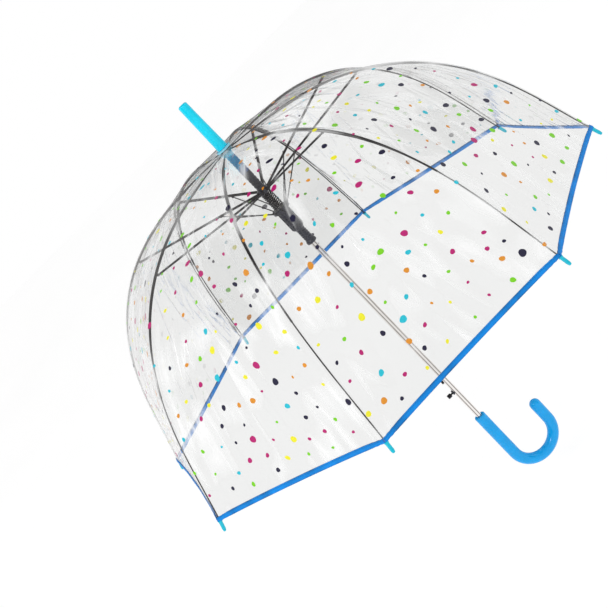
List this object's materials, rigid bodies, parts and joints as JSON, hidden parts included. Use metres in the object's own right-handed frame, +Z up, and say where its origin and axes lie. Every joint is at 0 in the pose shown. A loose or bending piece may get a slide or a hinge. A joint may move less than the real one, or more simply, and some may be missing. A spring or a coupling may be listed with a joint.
{
  "type": "clear dome umbrella",
  "caption": "Clear dome umbrella with printed dots, blue edge binding, ribs and struts on a sliding runner, push-button catch and crook handle.",
  "frame": {"origin": "on the shaft axis at the middle of the handle's straight grip", "axes": "+Z up along the shaft towards the ferrule, +X towards the open side of the crook, release button on -X"},
  "size_m": [0.829, 0.829, 0.8651],
  "materials": {
    "steel_tube": "polished",
    "black_steel": "satin",
    "spring_steel": "satin",
    "black_plastic": "satin",
    "azure_plastic": "glossy",
    "cyan_plastic": "glossy",
    "pale_washer": "glossy",
    "blue_binding": "woven tape",
    "clear_film": "clear film, glossy"
  },
  "bodies": {
    "shaft": {"shaft_tube": "steel_tube", "handle": "azure_plastic", "ferrule": "cyan_plastic", "crown_washer": "pale_washer", "top_notch": "azure_plastic", "button_housing": "black_plastic", "canopy": "clear_film", "edge_binding": "blue_binding"},
    "latch": {"release_latch": "black_plastic"},
    "hub": {"hub": "black_plastic", "runner_spring": "spring_steel"},
    "runner": {"runner": "black_plastic"},
    "rib_1": {"rib_inner_1": "black_steel"},
    "rib_mid_1": {"rib_middle_1": "black_steel"},
    "rib_out_1": {"rib_outer_1": "black_steel", "tip_1": "cyan_plastic"},
    "strut_1": {"strut_1": "black_steel"},
    "link_1": {"link_1": "spring_steel"},
    "rib_2": {"rib_inner_2": "black_steel"},
    "rib_mid_2": {"rib_middle_2": "black_steel"},
    "rib_out_2": {"rib_outer_2": "black_steel", "tip_2": "cyan_plastic"},
    "strut_2": {"strut_2": "black_steel"},
    "link_2": {"link_2": "spring_steel"},
    "rib_3": {"rib_inner_3": "black_steel"},
    "rib_mid_3": {"rib_middle_3": "black_steel"},
    "rib_out_3": {"rib_outer_3": "black_steel", "tip_3": "cyan_plastic"},
    "strut_3": {"strut_3": "black_steel"},
    "link_3": {"link_3": "spring_steel"},
    "rib_4": {"rib_inner_4": "black_steel"},
    "rib_mid_4": {"rib_middle_4": "black_steel"},
    "rib_out_4": {"rib_outer_4": "black_steel", "tip_4": "cyan_plastic"},
    "strut_4": {"strut_4": "black_steel"},
    "link_4": {"link_4": "spring_steel"},
    "rib_5": {"rib_inner_5": "black_steel"},
    "rib_mid_5": {"rib_middle_5": "black_steel"},
    "rib_out_5": {"rib_outer_5": "black_steel", "tip_5": "cyan_plastic"},
    "strut_5": {"strut_5": "black_steel"},
    "link_5": {"link_5": "spring_steel"},
    "rib_6": {"rib_inner_6": "black_steel"},
    "rib_mid_6": {"rib_middle_6": "black_steel"},
    "rib_out_6": {"rib_outer_6": "black_steel", "tip_6": "cyan_plastic"},
    "strut_6": {"strut_6": "black_steel"},
    "link_6": {"link_6": "spring_steel"},
    "rib_7": {"rib_inner_7": "black_steel"},
    "rib_mid_7": {"rib_middle_7": "black_steel"},
    "rib_out_7": {"rib_outer_7": "black_steel", "tip_7": "cyan_plastic"},
    "strut_7": {"strut_7": "black_steel"},
    "link_7": {"link_7": "spring_steel"},
    "rib_8": {"rib_inner_8": "black_steel"},
    "rib_mid_8": {"rib_middle_8": "black_steel"},
    "rib_out_8": {"rib_outer_8": "black_steel", "tip_8": "cyan_plastic"},
    "strut_8": {"strut_8": "black_steel"},
    "link_8": {"link_8": "spring_steel"}
  },
  "joints": [
    {"name": "fold", "type": "hinge", "parent": "shaft", "child": "rib_1", "pos_m": [0.00878, 0.00364, 0.66878], "axis": [-0.3827, 0.9239, 0], "range_deg": [0, 76.72], "stiffness_Nm_per_rad": 0.6, "springref_deg": -171.89, "deforming": ["canopy", "edge_binding"]},
    {"name": "rib_1_flex_mid", "type": "hinge", "parent": "rib_1", "child": "rib_mid_1", "pos_m": [0.21607, 0.0895, 0.62755], "axis": [-0.3827, 0.9239, 0], "range_deg": [-27.5, 0]},
    {"name": "rib_1_flex_out", "type": "hinge", "parent": "rib_mid_1", "child": "rib_out_1", "pos_m": [0.33263, 0.13778, 0.51386], "axis": [-0.3827, 0.9239, 0], "range_deg": [-29.5, 0]},
    {"name": "strut_1_pivot", "type": "hinge", "parent": "rib_1", "child": "strut_1", "pos_m": [0.21124, 0.0875, 0.62585], "axis": [-0.3827, 0.9239, 0], "range_deg": [-153.43, 0]},
    {"name": "link_1_pivot", "type": "hinge", "parent": "strut_1", "child": "link_1", "pos_m": [0.07224, 0.02992, 0.59638], "axis": [-0.3827, 0.9239, 0], "range_deg": [0, 25.46]},
    {"name": "rib_2_fold", "type": "hinge", "parent": "shaft", "child": "rib_2", "pos_m": [0.00364, 0.00878, 0.66878], "axis": [-0.9239, 0.3827, 0], "range_deg": [0, 76.72]},
    {"name": "rib_2_flex_mid", "type": "hinge", "parent": "rib_2", "child": "rib_mid_2", "pos_m": [0.0895, 0.21607, 0.62755], "axis": [-0.9239, 0.3827, 0], "range_deg": [-27.5, 0]},
    {"name": "rib_2_flex_out", "type": "hinge", "parent": "rib_mid_2", "child": "rib_out_2", "pos_m": [0.13778, 0.33263, 0.51386], "axis": [-0.9239, 0.3827, 0], "range_deg": [-29.5, 0]},
    {"name": "strut_2_pivot", "type": "hinge", "parent": "rib_2", "child": "strut_2", "pos_m": [0.0875, 0.21124, 0.62585], "axis": [-0.9239, 0.3827, 0], "range_deg": [-153.43, 0]},
    {"name": "link_2_pivot", "type": "hinge", "parent": "strut_2", "child": "link_2", "pos_m": [0.02992, 0.07224, 0.59638], "axis": [-0.9239, 0.3827, 0], "range_deg": [0, 25.46]},
    {"name": "rib_3_fold", "type": "hinge", "parent": "shaft", "child": "rib_3", "pos_m": [-0.00364, 0.00878, 0.66878], "axis": [-0.9239, -0.3827, 0], "range_deg": [0, 76.72]},
    {"name": "rib_3_flex_mid", "type": "hinge", "parent": "rib_3", "child": "rib_mid_3", "pos_m": [-0.0895, 0.21607, 0.62755], "axis": [-0.9239, -0.3827, 0], "range_deg": [-27.5, 0]},
    {"name": "rib_3_flex_out", "type": "hinge", "parent": "rib_mid_3", "child": "rib_out_3", "pos_m": [-0.13778, 0.33263, 0.51386], "axis": [-0.9239, -0.3827, 0], "range_deg": [-29.5, 0]},
    {"name": "strut_3_pivot", "type": "hinge", "parent": "rib_3", "child": "strut_3", "pos_m": [-0.0875, 0.21124, 0.62585], "axis": [-0.9239, -0.3827, 0], "range_deg": [-153.43, 0]},
    {"name": "link_3_pivot", "type": "hinge", "parent": "strut_3", "child": "link_3", "pos_m": [-0.02992, 0.07224, 0.59638], "axis": [-0.9239, -0.3827, 0], "range_deg": [0, 25.46]},
    {"name": "rib_4_fold", "type": "hinge", "parent": "shaft", "child": "rib_4", "pos_m": [-0.00878, 0.00364, 0.66878], "axis": [-0.3827, -0.9239, 0], "range_deg": [0, 76.72]},
    {"name": "rib_4_flex_mid", "type": "hinge", "parent": "rib_4", "child": "rib_mid_4", "pos_m": [-0.21607, 0.0895, 0.62755], "axis": [-0.3827, -0.9239, 0], "range_deg": [-27.5, 0]},
    {"name": "rib_4_flex_out", "type": "hinge", "parent": "rib_mid_4", "child": "rib_out_4", "pos_m": [-0.33263, 0.13778, 0.51386], "axis": [-0.3827, -0.9239, 0], "range_deg": [-29.5, 0]},
    {"name": "strut_4_pivot", "type": "hinge", "parent": "rib_4", "child": "strut_4", "pos_m": [-0.21124, 0.0875, 0.62585], "axis": [-0.3827, -0.9239, 0], "range_deg": [-153.43, 0]},
    {"name": "link_4_pivot", "type": "hinge", "parent": "strut_4", "child": "link_4", "pos_m": [-0.07224, 0.02992, 0.59638], "axis": [-0.3827, -0.9239, 0], "range_deg": [0, 25.46]},
    {"name": "rib_5_fold", "type": "hinge", "parent": "shaft", "child": "rib_5", "pos_m": [-0.00878, -0.00364, 0.66878], "axis": [0.3827, -0.9239, 0], "range_deg": [0, 76.72]},
    {"name": "rib_5_flex_mid", "type": "hinge", "parent": "rib_5", "child": "rib_mid_5", "pos_m": [-0.21607, -0.0895, 0.62755], "axis": [0.3827, -0.9239, 0], "range_deg": [-27.5, 0]},
    {"name": "rib_5_flex_out", "type": "hinge", "parent": "rib_mid_5", "child": "rib_out_5", "pos_m": [-0.33263, -0.13778, 0.51386], "axis": [0.3827, -0.9239, 0], "range_deg": [-29.5, 0]},
    {"name": "strut_5_pivot", "type": "hinge", "parent": "rib_5", "child": "strut_5", "pos_m": [-0.21124, -0.0875, 0.62585], "axis": [0.3827, -0.9239, 0], "range_deg": [-153.43, 0]},
    {"name": "link_5_pivot", "type": "hinge", "parent": "strut_5", "child": "link_5", "pos_m": [-0.07224, -0.02992, 0.59638], "axis": [0.3827, -0.9239, 0], "range_deg": [0, 25.46]},
    {"name": "rib_6_fold", "type": "hinge", "parent": "shaft", "child": "rib_6", "pos_m": [-0.00364, -0.00878, 0.66878], "axis": [0.9239, -0.3827, 0], "range_deg": [0, 76.72]},
    {"name": "rib_6_flex_mid", "type": "hinge", "parent": "rib_6", "child": "rib_mid_6", "pos_m": [-0.0895, -0.21607, 0.62755], "axis": [0.9239, -0.3827, 0], "range_deg": [-27.5, 0]},
    {"name": "rib_6_flex_out", "type": "hinge", "parent": "rib_mid_6", "child": "rib_out_6", "pos_m": [-0.13778, -0.33263, 0.51386], "axis": [0.9239, -0.3827, 0], "range_deg": [-29.5, 0]},
    {"name": "strut_6_pivot", "type": "hinge", "parent": "rib_6", "child": "strut_6", "pos_m": [-0.0875, -0.21124, 0.62585], "axis": [0.9239, -0.3827, 0], "range_deg": [-153.43, 0]},
    {"name": "link_6_pivot", "type": "hinge", "parent": "strut_6", "child": "link_6", "pos_m": [-0.02992, -0.07224, 0.59638], "axis": [0.9239, -0.3827, 0], "range_deg": [0, 25.46]},
    {"name": "rib_7_fold", "type": "hinge", "parent": "shaft", "child": "rib_7", "pos_m": [0.00364, -0.00878, 0.66878], "axis": [0.9239, 0.3827, 0], "range_deg": [0, 76.72]},
    {"name": "rib_7_flex_mid", "type": "hinge", "parent": "rib_7", "child": "rib_mid_7", "pos_m": [0.0895, -0.21607, 0.62755], "axis": [0.9239, 0.3827, 0], "range_deg": [-27.5, 0]},
    {"name": "rib_7_flex_out", "type": "hinge", "parent": "rib_mid_7", "child": "rib_out_7", "pos_m": [0.13778, -0.33263, 0.51386], "axis": [0.9239, 0.3827, 0], "range_deg": [-29.5, 0]},
    {"name": "strut_7_pivot", "type": "hinge", "parent": "rib_7", "child": "strut_7", "pos_m": [0.0875, -0.21124, 0.62585], "axis": [0.9239, 0.3827, 0], "range_deg": [-153.43, 0]},
    {"name": "link_7_pivot", "type": "hinge", "parent": "strut_7", "child": "link_7", "pos_m": [0.02992, -0.07224, 0.59638], "axis": [0.9239, 0.3827, 0], "range_deg": [0, 25.46]},
    {"name": "rib_8_fold", "type": "hinge", "parent": "shaft", "child": "rib_8", "pos_m": [0.00878, -0.00364, 0.66878], "axis": [0.3827, 0.9239, 0], "range_deg": [0, 76.72]},
    {"name": "rib_8_flex_mid", "type": "hinge", "parent": "rib_8", "child": "rib_mid_8", "pos_m": [0.21607, -0.0895, 0.62755], "axis": [0.3827, 0.9239, 0], "range_deg": [-27.5, 0]},
    {"name": "rib_8_flex_out", "type": "hinge", "parent": "rib_mid_8", "child": "rib_out_8", "pos_m": [0.33263, -0.13778, 0.51386], "axis": [0.3827, 0.9239, 0], "range_deg": [-29.5, 0]},
    {"name": "strut_8_pivot", "type": "hinge", "parent": "rib_8", "child": "strut_8", "pos_m": [0.21124, -0.0875, 0.62585], "axis": [0.3827, 0.9239, 0], "range_deg": [-153.43, 0]},
    {"name": "link_8_pivot", "type": "hinge", "parent": "strut_8", "child": "link_8", "pos_m": [0.07224, -0.02992, 0.59638], "axis": [0.3827, 0.9239, 0], "range_deg": [0, 25.46]},
    {"name": "hub_pivot", "type": "hinge", "parent": "strut_1", "child": "hub", "pos_m": [0.00878, 0.00364, 0.58292], "axis": [-0.3827, 0.9239, 0], "range_deg": [0, 76.72]},
    {"name": "runner_slide", "type": "slide", "parent": "hub", "child": "runner", "axis": [0, 0, 1], "range_m": [0, 0.0258], "deforming": ["runner_spring"]},
    {"name": "button_press", "type": "slide", "parent": "shaft", "child": "latch", "axis": [1, 0, 0], "range_m": [0, 0.0032], "stiffness_N_per_m": 700, "springref_m": -0.002}
  ],
  "couplings": [
    {"joint": "rib_1_flex_mid", "follows": "fold", "ratio": -0.35847},
    {"joint": "rib_1_flex_out", "follows": "fold", "ratio": -0.38454},
    {"joint": "strut_1_pivot", "follows": "fold", "ratio": -2},
    {"joint": "link_1_pivot", "follows": "fold", "ratio": 0.33192},
    {"joint": "rib_2_fold", "follows": "fold", "ratio": 1},
    {"joint": "rib_2_flex_mid", "follows": "fold", "ratio": -0.35847},
    {"joint": "rib_2_flex_out", "follows": "fold", "ratio": -0.38454},
    {"joint": "strut_2_pivot", "follows": "fold", "ratio": -2},
    {"joint": "link_2_pivot", "follows": "fold", "ratio": 0.33192},
    {"joint": "rib_3_fold", "follows": "fold", "ratio": 1},
    {"joint": "rib_3_flex_mid", "follows": "fold", "ratio": -0.35847},
    {"joint": "rib_3_flex_out", "follows": "fold", "ratio": -0.38454},
    {"joint": "strut_3_pivot", "follows": "fold", "ratio": -2},
    {"joint": "link_3_pivot", "follows": "fold", "ratio": 0.33192},
    {"joint": "rib_4_fold", "follows": "fold", "ratio": 1},
    {"joint": "rib_4_flex_mid", "follows": "fold", "ratio": -0.35847},
    {"joint": "rib_4_flex_out", "follows": "fold", "ratio": -0.38454},
    {"joint": "strut_4_pivot", "follows": "fold", "ratio": -2},
    {"joint": "link_4_pivot", "follows": "fold", "ratio": 0.33192},
    {"joint": "rib_5_fold", "follows": "fold", "ratio": 1},
    {"joint": "rib_5_flex_mid", "follows": "fold", "ratio": -0.35847},
    {"joint": "rib_5_flex_out", "follows": "fold", "ratio": -0.38454},
    {"joint": "strut_5_pivot", "follows": "fold", "ratio": -2},
    {"joint": "link_5_pivot", "follows": "fold", "ratio": 0.33192},
    {"joint": "rib_6_fold", "follows": "fold", "ratio": 1},
    {"joint": "rib_6_flex_mid", "follows": "fold", "ratio": -0.35847},
    {"joint": "rib_6_flex_out", "follows": "fold", "ratio": -0.38454},
    {"joint": "strut_6_pivot", "follows": "fold", "ratio": -2},
    {"joint": "link_6_pivot", "follows": "fold", "ratio": 0.33192},
    {"joint": "rib_7_fold", "follows": "fold", "ratio": 1},
    {"joint": "rib_7_flex_mid", "follows": "fold", "ratio": -0.35847},
    {"joint": "rib_7_flex_out", "follows": "fold", "ratio": -0.38454},
    {"joint": "strut_7_pivot", "follows": "fold", "ratio": -2},
    {"joint": "link_7_pivot", "follows": "fold", "ratio": 0.33192},
    {"joint": "rib_8_fold", "follows": "fold", "ratio": 1},
    {"joint": "rib_8_flex_mid", "follows": "fold", "ratio": -0.35847},
    {"joint": "rib_8_flex_out", "follows": "fold", "ratio": -0.38454},
    {"joint": "strut_8_pivot", "follows": "fold", "ratio": -2},
    {"joint": "link_8_pivot", "follows": "fold", "ratio": 0.33192},
    {"joint": "hub_pivot", "follows": "fold", "ratio": 1},
    {"joint": "runner_slide", "follows": "fold", "m_per_rad": 0.019269}
  ]
}
